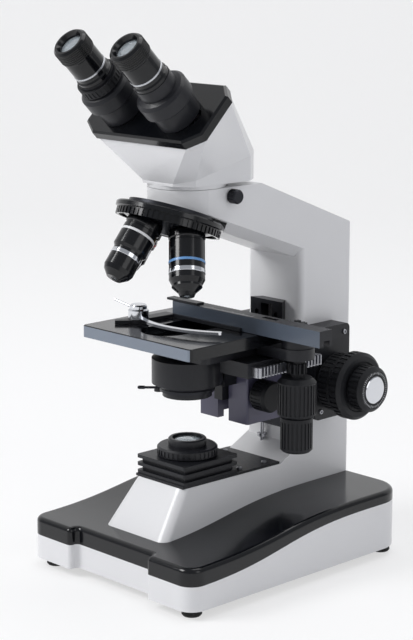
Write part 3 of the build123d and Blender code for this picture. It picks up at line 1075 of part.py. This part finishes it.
with BuildPart() as head_housing:
    loft([outline_face(plate_under, plate_outline, 1),
          outline_face(WAIST_PLANE, waist_on_slope, 0)], ruled=True)
    loft([outline_face(WAIST_PLANE, waist_on_slope, 0),
          outline_face(Plane.XY.offset(COLLAR_TOP), waist, 0)], ruled=True)
    rod(OPTIC, UP, COLLAR_RADIUS, NOSE_TOP + GAP, COLLAR_TOP + 1)
    rod(OPTIC, UP, SOCKET_RADIUS - GAP, NOSE_TOP - SOCKET_DEPTH + GAP, NOSE_TOP + 1)
    add(head_room.part, mode=Mode.SUBTRACT)
    rod(OPTIC, UP, SOCKET_RADIUS - 3.5, NOSE_TOP - SOCKET_DEPTH, HEAD_CROSSING, Mode.SUBTRACT)
head_housing.part.label = "head_housing"
export_step(head_housing.part.moved(TO_MIDDLE), "parts/head_housing.step")

with BuildPart() as head_plate:
    with BuildSketch(plate_under) as plate_face:
        with BuildLine():
            Polyline(*plate_outline, close=True)
        make_face()
        with Locations((-EYE_HALF - EYE_TRAVEL / 2, 0), (EYE_HALF + EYE_TRAVEL / 2, 0)):
            SlotCenterToCenter(EYE_TRAVEL + 1, 2 * KEY_RADIUS + 2 * GAP, mode=Mode.SUBTRACT)
    extrude(amount=PLATE_THICKNESS)
    rim = head_plate.faces().sort_by(Axis(PLATE_PLANE.origin, PLATE_PLANE.z_dir))[-1]
    chamfer(rim.outer_wire().edges(), length=1.4)
head_plate.part.label = "head_plate"
export_step(head_plate.part.moved(TO_MIDDLE), "parts/head_plate.step")

with BuildPart() as prism:
    with BuildSketch(plate_under):
        Rectangle(30, 26)
    extrude(amount=-16)
    with BuildSketch(plate_under.offset(-16)):
        Rectangle(22, 22)
    extrude(amount=-12, taper=20)
prism.part.label = "prism"
export_step(prism.part.moved(TO_MIDDLE), "parts/prism.step")

# Eyepiece tubes, which slide apart along the plate, with their eyepieces
for side, name in ((-1, "left"), (1, "right")):
    place = (side * EYE_HALF, PLATE_Y, PLATE_Z)
    with BuildPart() as tube:
        turned(place, TUBE_DIRECTION,
               [(KEY_RADIUS - 2, -PLATE_THICKNESS + 1), (KEY_RADIUS, -PLATE_THICKNESS + 1),
                (KEY_RADIUS, GAP), (15.5, GAP), (15.5, 13),
                (TUBE_FLANGE_RADIUS - 1, 14), (TUBE_FLANGE_RADIUS, 15), (TUBE_FLANGE_RADIUS, 24),
                (TUBE_FLANGE_RADIUS - 2, 26), (TUBE_RADIUS, 27), (TUBE_RADIUS, 36),
                (EYEPIECE_FIT + SEAT, 36), (EYEPIECE_FIT + SEAT, 5), (KEY_RADIUS - 2, 4)])
    tube.part.label = f"tube_{name}"
    export_step(tube.part.moved(TO_MIDDLE), f"parts/tube_{name}.step")

    with BuildPart() as eyepiece:
        turned(place, TUBE_DIRECTION,
               [(EYEPIECE_FIT - 1.4, 10), (EYEPIECE_FIT, 10), (EYEPIECE_FIT, 36.2), (13, 36.2), (13, 38.5),
                (12, 39.5), (12, 41), (EYEPIECE_RADIUS - 0.4, 42), (EYEPIECE_RADIUS - 0.4, 56),
                (EYEPIECE_RADIUS, 56.6), (EYEPIECE_RADIUS, TUBE_LENGTH - 1.5),
                (EYEPIECE_RADIUS - 1.5, TUBE_LENGTH), (9.4, TUBE_LENGTH), (8 + SEAT, TUBE_LENGTH - 2.5),
                (8 + SEAT, TUBE_LENGTH - 6), (EYEPIECE_FIT - 1.4, TUBE_LENGTH - 8)])
    eyepiece.part.label = f"eyepiece_{name}"
    export_step(eyepiece.part.moved(TO_MIDDLE), f"parts/eyepiece_{name}.step")

    with BuildPart() as eye_lens:
        turned(place, TUBE_DIRECTION, [(0, TUBE_LENGTH - 5.8), (8, TUBE_LENGTH - 5.8), (8, TUBE_LENGTH - 4),
                                       (5, TUBE_LENGTH - 3.2), (0, TUBE_LENGTH - 2.8)])
    eye_lens.part.label = f"eye_lens_{name}"
    export_step(eye_lens.part.moved(TO_MIDDLE), f"parts/eye_lens_{name}.step")

# Diopter ring round the left tube
with BuildPart() as diopter_ring:
    left_place = (-EYE_HALF, PLATE_Y, PLATE_Z)
    turned(left_place, TUBE_DIRECTION, [(TUBE_RADIUS + GAP, 27.6), (TUBE_RADIUS + 2, 27.6),
                                        (TUBE_RADIUS + 2, 34), (TUBE_RADIUS + GAP, 34)])
    grip_ribs(left_place, TUBE_DIRECTION, TUBE_RADIUS + 2, 28.4, 33.2, 30, 0.5)
diopter_ring.part.label = "diopter_ring"
export_step(diopter_ring.part.moved(TO_MIDDLE), "parts/diopter_ring.step")
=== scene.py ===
import json
from math import cos, pi, radians, sin

import bmesh
import bpy
from mathutils import Matrix, Vector


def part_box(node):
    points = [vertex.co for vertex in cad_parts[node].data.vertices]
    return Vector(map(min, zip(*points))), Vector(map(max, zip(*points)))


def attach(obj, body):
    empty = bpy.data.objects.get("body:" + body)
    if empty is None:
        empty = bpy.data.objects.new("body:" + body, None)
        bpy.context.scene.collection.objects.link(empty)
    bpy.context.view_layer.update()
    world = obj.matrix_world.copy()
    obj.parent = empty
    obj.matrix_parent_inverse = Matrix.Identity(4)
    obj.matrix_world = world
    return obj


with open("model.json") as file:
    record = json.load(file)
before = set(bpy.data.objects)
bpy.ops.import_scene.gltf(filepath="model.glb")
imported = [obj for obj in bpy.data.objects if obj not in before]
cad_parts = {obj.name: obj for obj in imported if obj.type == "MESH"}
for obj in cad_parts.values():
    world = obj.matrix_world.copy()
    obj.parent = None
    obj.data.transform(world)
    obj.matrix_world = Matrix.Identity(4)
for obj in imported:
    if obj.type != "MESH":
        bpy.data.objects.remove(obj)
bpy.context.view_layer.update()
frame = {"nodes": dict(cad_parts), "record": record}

MM = 0.001
OPTIC_X = -12.5
OPTIC_Y = -27
APEX = Vector((OPTIC_X, OPTIC_Y, 300))
TURRET_TILT = radians(20)
TURRET_AXIS = Vector((0, -sin(TURRET_TILT), -cos(TURRET_TILT)))
OBJECTIVE_SEAT = 60
TUBE_AXIS = Vector((0, -cos(radians(45)), sin(radians(45))))
PLATE_CENTRE = Vector((OPTIC_X, -59.31, 328.31))
EYE_HALF = 28
FOCUS = Vector((OPTIC_X, 78, 127.6))
RIGHT = Vector((1, 0, 0))
UP = Vector((0, 0, 1))
BROAD_GRAIN = 14         # noise scale of the slow change of colour
RELIEF_DEPTH = 0.0004    # metres
BLACK_SHINE = 0.3        # specular level of the black surfaces
FRONT_DEPTH = 0.0008     # metres behind the foremost point that still count as the front face, which gets the painted sheen
COLOUR_BAND = 1.8        # width of an objective's coloured band
GRIP_BAND = 3            # width of its bright band
SEAM = (42.2, 43.6)      # along the tube's axis, the eyepiece's bright ring
RIM_START = 57.6
RIM_PITCH = 1.5
RIM_WIDTH = 0.9
BAR_FRONT = -10.6        # where the bar's scale lines begin
FINE_KNOB_FACE = 83      # from the middle of the stand
FINE_SCALE_RADIUS = 12.2
FLOOR_NEAR = -6.0        # metres, as all the sizes of the floor
CURVE_START = 1.6
CURVE_RADIUS = 1.0
BACKDROP_TOP = 6.0
FLOOR_HALF_WIDTH = 8
WHITE_SHARE = 0.6        # of plain white in what the camera sees of the floor


# Materials

def colour(text):
    """A linear colour from a hex value as seen on the screen."""
    channels = [int(text[i:i + 2], 16) / 255 for i in (0, 2, 4)]
    linear = [c / 12.92 if c <= 0.04045 else ((c + 0.055) / 1.055) ** 2.4 for c in channels]
    return (*linear, 1)


def material(name, base, second, roughness, metallic=0.0, coat=0.0, grain=600.0, bump=0.05,
             spread=0.08, stretch=(1, 1, 1)):
    """A surface whose colour, roughness and fine relief all vary with noise in object space."""
    made = bpy.data.materials.new(name)
    made.use_nodes = True
    nodes = made.node_tree.nodes
    links = made.node_tree.links
    shader = nodes["Principled BSDF"]
    place = nodes.new("ShaderNodeTexCoord")
    mapping = nodes.new("ShaderNodeMapping")
    mapping.inputs["Scale"].default_value = stretch
    links.new(place.outputs["Object"], mapping.inputs["Vector"])
    fine = nodes.new("ShaderNodeTexNoise")
    fine.inputs["Scale"].default_value = grain
    fine.inputs["Detail"].default_value = 4
    links.new(mapping.outputs["Vector"], fine.inputs["Vector"])
    broad = nodes.new("ShaderNodeTexNoise")
    broad.inputs["Scale"].default_value = BROAD_GRAIN
    broad.inputs["Detail"].default_value = 5
    links.new(mapping.outputs["Vector"], broad.inputs["Vector"])
    mix = nodes.new("ShaderNodeMix")
    mix.data_type = "RGBA"
    mix.inputs["A"].default_value = colour(base)
    mix.inputs["B"].default_value = colour(second)
    links.new(broad.outputs["Fac"], mix.inputs["Factor"])
    links.new(mix.outputs["Result"], shader.inputs["Base Color"])
    rough = nodes.new("ShaderNodeMapRange")
    rough.inputs["To Min"].default_value = max(0.02, roughness - spread)
    rough.inputs["To Max"].default_value = min(1.0, roughness + spread)
    links.new(fine.outputs["Fac"], rough.inputs["Value"])
    links.new(rough.outputs["Result"], shader.inputs["Roughness"])
    relief = nodes.new("ShaderNodeBump")
    relief.inputs["Strength"].default_value = bump
    relief.inputs["Distance"].default_value = RELIEF_DEPTH
    links.new(fine.outputs["Fac"], relief.inputs["Height"])
    links.new(relief.outputs["Normal"], shader.inputs["Normal"])
    shader.inputs["Metallic"].default_value = metallic
    shader.inputs["Coat Weight"].default_value = coat
    shader.inputs["Coat Roughness"].default_value = 0.06
    return made


def glass(name, tint):
    """Clear glass with a faint tint."""
    made = material(name, tint, "F4FAFF", 0.04, coat=0.3, grain=200, bump=0.01, spread=0.02)
    shader = made.node_tree.nodes["Principled BSDF"]
    shader.inputs["Transmission Weight"].default_value = 0.75
    shader.inputs["IOR"].default_value = 1.5
    return made


finishes = {
    "white_paint": material("white_enamel", "DADADC", "E0E0E1", 0.36, coat=0.25, bump=0.08),
    "grey_paint": material("grey_enamel", "4B495E", "535168", 0.42, coat=0.15, bump=0.08),
    "black_paint": material("black_satin", "17181C", "202126", 0.42, coat=0.1, bump=0.10),
    "black_gloss": material("black_gloss", "08090C", "0D0F13", 0.16, coat=0.2, bump=0.03,
                            spread=0.04),
    "black_plastic": material("moulded_black", "141518", "1D1E22", 0.50, bump=0.20, grain=900),
    "dark_steel": material("blackened_steel", "26272B", "34353A", 0.34, metallic=0.8,
                           stretch=(1, 1, 12), grain=300),
    "brushed": material("brushed_steel", "9C9DA2", "B4B5BA", 0.30, metallic=1.0,
                        stretch=(1, 1, 16), grain=260, bump=0.08),
    "chrome": material("bright_chrome", "C9CBD0", "E0E2E6", 0.10, metallic=1.0, bump=0.01,
                       spread=0.04),
    "rubber": material("foot_rubber", "121212", "1E1E1E", 0.80, bump=0.4, grain=1200),
    "glass": glass("lens_glass", "DCE9F2"),
}
# Painted sheen: lighter blue-grey colours for the front faces of the stage and the bar, standing in
# for reflected light on their black fronts
stage_front_sheen = material("stage_front_painted_sheen", "6C7480", "76808D", 0.38, coat=0.2, bump=0.05)
bar_front_sheen = material("bar_front_painted_sheen", "434C58", "4C5562", 0.38, coat=0.2, bump=0.05)
for name in ("black_gloss", "black_paint", "black_plastic"):
    shader = finishes[name].node_tree.nodes["Principled BSDF"]
    shader.inputs["Specular IOR Level"].default_value = BLACK_SHINE
silver_satin = material("satin_silver", "B9BBC0", "C8CACE", 0.28, metallic=0.9, bump=0.04)

slots = {entry["node"]: entry["material_slot"] for entry in frame["record"]["subparts"]}
for node, obj in frame["nodes"].items():
    obj.data.materials.clear()
    obj.data.materials.append(finishes[slots[node]])

# Painted sheen: the front faces of the stage and of the bar get a lighter blue-grey than the rest of
# each black part, a painted reflection of the bright surroundings
for node, painted_sheen in (("stage_top_plate", stage_front_sheen), ("x_bar", bar_front_sheen)):
    mesh = frame["nodes"][node].data
    mesh.materials.append(painted_sheen)
    low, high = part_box(node)
    for face in mesh.polygons:
        near_front = face.center.y < low.y + FRONT_DEPTH
        if face.normal.y < -0.8 and near_front:
            face.material_index = 1


# Turned pieces that ride on the CAD bodies

def turned(name, origin, axis, outline, body, surface, segments=72):
    """A lathed ring or cap: closed (radius, height) outline in millimetres round an axis."""
    axis = axis.normalized()
    side = Vector((0, 1, 0)) if abs(axis.x) > 0.5 else Vector((1, 0, 0))
    side = (side - axis * side.dot(axis)).normalized()
    other = axis.cross(side)
    shape = bmesh.new()
    rings = []
    for step in range(segments):
        angle = 2 * pi * step / segments
        out = side * cos(angle) + other * sin(angle)
        rings.append([shape.verts.new((origin + out * r + axis * h) * MM) for r, h in outline])
    for step in range(segments):
        here, there = rings[step], rings[(step + 1) % segments]
        for i in range(len(outline)):
            j = (i + 1) % len(outline)
            shape.faces.new((here[i], here[j], there[j], there[i]))
    bmesh.ops.remove_doubles(shape, verts=shape.verts, dist=1e-7)
    bmesh.ops.dissolve_degenerate(shape, edges=shape.edges, dist=1e-7)
    bmesh.ops.recalc_face_normals(shape, faces=shape.faces)
    return finish_piece(name, shape, body, surface)


def finish_piece(name, shape, body, surface):
    """Makes the object, smooths it except at its sharp edges, and lets it ride on its body."""
    mesh = bpy.data.meshes.new(name)
    shape.to_mesh(mesh)
    shape.free()
    for face in mesh.polygons:
        face.use_smooth = True
    mesh.set_sharp_from_angle(angle=radians(32))
    mesh.materials.append(surface)
    obj = bpy.data.objects.new(name, mesh)
    bpy.context.scene.collection.objects.link(obj)
    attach(obj, body)
    return obj


def band(name, origin, axis, radius, start, end, body, surface, slot, wall=0.8):
    """A thin ring with softened rims that sits on a barrel of the given radius."""
    inner = radius - wall
    outer = radius + 0.25
    soft = 0.2
    outline = [(inner, start), (outer - soft, start), (outer, start + soft), (outer, end - soft),
               (outer - soft, end), (inner, end)]
    return turned(name, origin, axis, outline, body, surface)


def objective_direction(turn):
    """The way an objective points when it sits at this angle from the one in use."""
    down = Vector((0, 0, -1))
    down.rotate(Matrix.Rotation(radians(turn), 3, TURRET_AXIS))
    return down


# Objectives: a coloured band and a bright band on each. Each barrel has its turn in degrees, then
# the radius and the start of the coloured band, then those of the bright one
band_colours = {"4x": "B3372E", "10x": "C9A227", "40x": "5E8FC4", "100x": "D9DADC"}
barrels = {"4x": (270, 12.3, 7.6, 11.2, 15), "10x": (0, 12.3, 8, 10.6, 17),
           "40x": (90, 12.3, 20, 12.3, 26), "100x": (180, 12.3, 10, 10.8, 26)}
for power, (turn, upper, upper_at, lower, lower_at) in barrels.items():
    way = objective_direction(turn)
    paint = material(f"band_{power}", band_colours[power], band_colours[power], 0.35, coat=0.3)
    band(f"objective_{power}_colour_band", APEX, way, upper, OBJECTIVE_SEAT + upper_at,
         OBJECTIVE_SEAT + upper_at + COLOUR_BAND, "nosepiece", paint, "black_gloss")
    band(f"objective_{power}_grip", APEX, way, lower, OBJECTIVE_SEAT + lower_at,
         OBJECTIVE_SEAT + lower_at + GRIP_BAND, "nosepiece", finishes["chrome"], "chrome")

# Eyepieces: a bright seam ring and the ribbed rubber rim
for side, name in ((-1, "left"), (1, "right")):
    place = PLATE_CENTRE + RIGHT * side * EYE_HALF
    body = f"eye_{name}"
    band(f"eyepiece_{name}_seam", place, TUBE_AXIS, 12.0, *SEAM, body,
         silver_satin, "brushed")
    for step in range(6):
        start = RIM_START + RIM_PITCH * step
        band(f"eyepiece_{name}_rim_{step}", place, TUBE_AXIS, 12.4, start, start + RIM_WIDTH, body,
             finishes["rubber"], "rubber")


# Screws

def screw(name, place, axis, radius, height, body, surface):
    """A cap screw: a rounded head with a deep round socket."""
    socket = radius * 0.5
    outline = [(0, -0.3), (radius, -0.3), (radius, height * 0.7), (radius * 0.85, height),
               (socket, height), (socket * 0.9, height * 0.4), (0, height * 0.4)]
    return turned(name, place, axis, outline, body, surface, 32)


for index, (x, y) in enumerate(((-19, 6), (19, 6), (-20, 30), (20, 30))):
    screw(f"lamp_deck_screw_{index}", Vector((OPTIC_X + x, y, 70.8)), UP, 2.0, 1.2, "stand",
          finishes["brushed"])
for index, y in enumerate((-16, 24)):
    screw(f"stage_side_screw_{index}", Vector((OPTIC_X + 59, y, 154)), RIGHT, 2.1, 1.4, "lift",
          finishes["chrome"])
for index, (y, z) in enumerate(((66, 106), (90, 106), (66, 162), (90, 162))):
    screw(f"focus_housing_screw_{index}", Vector((OPTIC_X + 42, y, z)), RIGHT, 1.8, 1.2, "stand",
          finishes["brushed"])


# Scales: short white lines on the bar and the fine knob

white_ink = material("scale_white", "E2E3E5", "ECECEE", 0.5)


def line(name, centre, along, across, normal, length, width, body):
    """One printed line: a thin plate with its long side along the given way."""
    shape = bmesh.new()
    corners = []
    for lift in (-0.02, 0.06):
        for a, b in ((-1, -1), (1, -1), (1, 1), (-1, 1)):
            at = centre + along * a * length / 2 + across * b * width / 2 + normal * lift
            corners.append(shape.verts.new(at * MM))
    for quad in ((3, 2, 1, 0), (4, 5, 6, 7), (0, 1, 5, 4), (1, 2, 6, 5), (2, 3, 7, 6), (3, 0, 4, 7)):
        shape.faces.new([corners[i] for i in quad])
    bmesh.ops.recalc_face_normals(shape, faces=shape.faces)
    return finish_piece(name, shape, body, white_ink)


bar_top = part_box("x_bar")[1].z / MM - 1.6
for index in range(26):
    length = 3.4 if index % 5 == 0 else 2
    line(f"bar_scale_{index}", Vector((OPTIC_X - 4 + 2 * index, BAR_FRONT + length / 2, bar_top)),
         Vector((0, 1, 0)), RIGHT, UP, length, 0.3, "cross_slide")
for index in range(50):
    angle = 2 * pi * index / 50
    out = Vector((0, cos(angle), sin(angle)))
    length = 2.2 if index % 5 == 0 else 1.3
    place = FOCUS + RIGHT * FINE_KNOB_FACE + out * FINE_SCALE_RADIUS
    line(f"fine_scale_{index}", place, out, out.cross(RIGHT), RIGHT, length, 0.25, "fine")


# Floor and backdrop: a floor that curves up behind the part
floor_mesh = bpy.data.meshes.new("floor")
floor_shape = bmesh.new()
rows = []
for step in range(25):
    turn = radians(90 * step / 24)
    rows.append((CURVE_START + CURVE_RADIUS * sin(turn), CURVE_RADIUS - CURVE_RADIUS * cos(turn)))
far = CURVE_START + CURVE_RADIUS
profile = [(FLOOR_NEAR, 0.0), (0.0, 0.0)] + rows + [(far, BACKDROP_TOP)]
away = Vector((-0.721, 0.693, 0))
across = Vector((0.693, 0.721, 0))
strips = []
for reach, height in profile:
    strips.append([floor_shape.verts.new(away * reach + across * side + UP * height)
                   for side in (-FLOOR_HALF_WIDTH, FLOOR_HALF_WIDTH)])
for first, second in zip(strips, strips[1:]):
    floor_shape.faces.new((first[0], first[1], second[1], second[0]))
bmesh.ops.recalc_face_normals(floor_shape, faces=floor_shape.faces)
floor_shape.to_mesh(floor_mesh)
floor_shape.free()
for face in floor_mesh.polygons:
    face.use_smooth = True
floor = bpy.data.objects.new("floor", floor_mesh)
bpy.context.scene.collection.objects.link(floor)
floor_material = bpy.data.materials.new("pale_floor")
floor_material.use_nodes = True
floor_nodes = floor_material.node_tree.nodes
floor_nodes["Principled BSDF"].inputs["Base Color"].default_value = (0.93, 0.93, 0.94, 1)
floor_nodes["Principled BSDF"].inputs["Roughness"].default_value = 0.7

# The camera, mirrors and glass see a share of plain white in the floor; its shadow stays
floor_links = floor_material.node_tree.links
rays = floor_nodes.new("ShaderNodeLightPath")
seen = floor_nodes.new("ShaderNodeMath")
floor_links.new(rays.outputs["Is Camera Ray"], seen.inputs[0])
floor_links.new(rays.outputs["Is Glossy Ray"], seen.inputs[1])
seen_too = floor_nodes.new("ShaderNodeMath")
seen_too.use_clamp = True
floor_links.new(seen.outputs["Value"], seen_too.inputs[0])
floor_links.new(rays.outputs["Is Transmission Ray"], seen_too.inputs[1])
share = floor_nodes.new("ShaderNodeMath")
share.operation = "MULTIPLY"
share.inputs[1].default_value = WHITE_SHARE
floor_links.new(seen_too.outputs["Value"], share.inputs[0])
white = floor_nodes.new("ShaderNodeEmission")
white.inputs["Color"].default_value = (1, 1, 1, 1)
white.inputs["Strength"].default_value = 1
blend = floor_nodes.new("ShaderNodeMixShader")
floor_links.new(share.outputs["Value"], blend.inputs["Fac"])
floor_links.new(floor_nodes["Principled BSDF"].outputs["BSDF"], blend.inputs[1])
floor_links.new(white.outputs["Emission"], blend.inputs[2])
floor_links.new(blend.outputs["Shader"], floor_nodes["Material Output"].inputs["Surface"])
floor_mesh.materials.append(floor_material)

# World: soft daylight that the glossy surfaces can mirror
world = bpy.data.worlds.new("studio")
bpy.context.scene.world = world
world.use_nodes = True
world.node_tree.nodes["Background"].inputs["Color"].default_value = (0.93, 0.95, 1.0, 1)
world.node_tree.nodes["Background"].inputs["Strength"].default_value = 0.42


def lamp(name, place, target, size, watts):
    """A rectangular area lamp aimed at a point, all in metres."""
    data = bpy.data.lights.new(name, "AREA")
    data.shape = "RECTANGLE"
    data.size = size[0]
    data.size_y = size[1]
    data.energy = watts
    obj = bpy.data.objects.new(name, data)
    bpy.context.scene.collection.objects.link(obj)
    obj.location = place
    obj.rotation_euler = (Vector(target) - Vector(place)).to_track_quat("-Z", "Y").to_euler()


middle = (0, 0, 0.2)
lamp("key", (-0.9, -1.5, 1.5), middle, (1.0, 1.0), 32)
lamp("side", (1.7, -0.1, 0.9), middle, (0.8, 1.2), 4)
lamp("top", (0.1, 0.5, 1.9), middle, (1.2, 1.2), 9)

# Camera, from the photograph's fitted viewpoint
camera_data = bpy.data.cameras.new("camera")
camera_data.sensor_width = 36
camera_data.lens = 106.05
camera = bpy.data.objects.new("camera", camera_data)
bpy.context.scene.collection.objects.link(camera)
eye = Vector((OPTIC_X + 937.6, -908.8, 457.2)) * MM
aim = Vector((OPTIC_X - 8.53, 0, 176.02)) * MM
camera.location = eye
camera.rotation_euler = (aim - eye).to_track_quat("-Z", "Y").to_euler()
bpy.context.scene.camera = camera
bpy.context.scene.view_settings.view_transform = "Standard"
